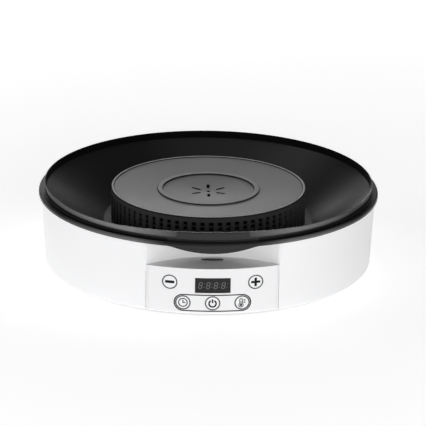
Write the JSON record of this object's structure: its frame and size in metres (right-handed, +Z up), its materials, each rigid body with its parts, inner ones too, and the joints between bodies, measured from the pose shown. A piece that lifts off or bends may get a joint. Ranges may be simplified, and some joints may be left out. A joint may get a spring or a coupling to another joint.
{
  "type": "food dehydrator base",
  "caption": "Round powered base of a stacking food dehydrator or filament dryer: black air dish with slotted hub, white casing, front keys and display.",
  "frame": {"origin": "on the table under the centre of the round base", "axes": "+Z up along the fan's axis, -Y towards the control panel, +X to the right of someone facing the panel"},
  "size_m": [0.34, 0.34, 0.0869],
  "materials": {
    "casing_white": "satin white",
    "key_white": "satin white",
    "trim_grey": "fine matt grey",
    "window_smoke": "dark tinted gloss",
    "dark_plastic": "matt",
    "board_green": "solder mask",
    "screw_steel": "zinc plated",
    "dish_black": "satin black",
    "cap_grey": "fine matt dark grey",
    "sheet_steel": "galvanised sheet",
    "mica": "mica and ceramic",
    "heater_wire": "resistance wire",
    "lamination": "laminated steel",
    "copper": "enamelled copper wire",
    "bronze": "sintered bronze",
    "fan_aluminium": "pressed sheet",
    "plate_black": "matt black",
    "rubber_black": "matt"
  },
  "bodies": {
    "base": {"outer_casing": "casing_white", "control_panel": "casing_white", "ledge_trim": "trim_grey", "display_window": "window_smoke", "display_module": "dark_plastic", "control_board": "board_green", "board_screws": "screw_steel", "panel_screws": "screw_steel", "tactile_switches": "dark_plastic", "dish": "dish_black", "dish_screws": "screw_steel", "hub_skirt": "dish_black", "hub_cap": "cap_grey", "hub_screws": "screw_steel", "cap_shield": "sheet_steel", "shield_screws": "screw_steel", "heater_tray": "sheet_steel", "heater_supports": "mica", "heater_coils": "heater_wire", "motor_bracket": "sheet_steel", "bracket_screws": "screw_steel", "motor_stator": "lamination", "coil_bobbin": "mica", "motor_coil": "copper", "motor_frame_top": "sheet_steel", "motor_frame_bottom": "sheet_steel", "motor_bearings": "bronze", "motor_bolts": "screw_steel", "thermostat": "dark_plastic", "thermal_fuse": "mica", "temp_sensor": "mica", "power_board": "board_green", "power_relay": "dark_plastic", "transformer": "lamination", "capacitor": "dark_plastic", "terminal_block": "dark_plastic", "power_board_screws": "screw_steel", "base_plate": "plate_black", "base_screws": "screw_steel", "rubber_feet": "rubber_black", "cord_bushing": "rubber_black"},
    "fan_rotor": {"motor_rotor": "lamination", "motor_shaft": "screw_steel", "fan_impeller": "fan_aluminium", "fan_clip": "screw_steel"},
    "key_minus": {"button_minus": "key_white", "plunger_minus": "dark_plastic"},
    "key_plus": {"button_plus": "key_white", "plunger_plus": "dark_plastic"},
    "key_timer": {"button_timer": "key_white", "plunger_timer": "dark_plastic"},
    "key_power": {"button_power": "key_white", "plunger_power": "dark_plastic"},
    "key_temp": {"button_temp": "key_white", "plunger_temp": "dark_plastic"}
  },
  "joints": [
    {"name": "fan_spin", "type": "hinge", "parent": "base", "child": "fan_rotor", "pos_m": [0, 0, 0.03], "axis": [0, 0, 1], "continuous": true},
    {"name": "key_minus_press", "type": "slide", "parent": "base", "child": "key_minus", "axis": [0, 1, 0], "range_m": [0, 0.0008], "stiffness_N_per_m": 800, "springref_m": -0.0005},
    {"name": "key_plus_press", "type": "slide", "parent": "base", "child": "key_plus", "axis": [0, 1, 0], "range_m": [0, 0.0008], "stiffness_N_per_m": 800, "springref_m": -0.0005},
    {"name": "key_timer_press", "type": "slide", "parent": "base", "child": "key_timer", "axis": [0, 1, 0], "range_m": [0, 0.0008], "stiffness_N_per_m": 800, "springref_m": -0.0005},
    {"name": "key_power_press", "type": "slide", "parent": "base", "child": "key_power", "axis": [0, 1, 0], "range_m": [0, 0.0008], "stiffness_N_per_m": 800, "springref_m": -0.0005},
    {"name": "key_temp_press", "type": "slide", "parent": "base", "child": "key_temp", "axis": [0, 1, 0], "range_m": [0, 0.0008], "stiffness_N_per_m": 800, "springref_m": -0.0005}
  ]
}
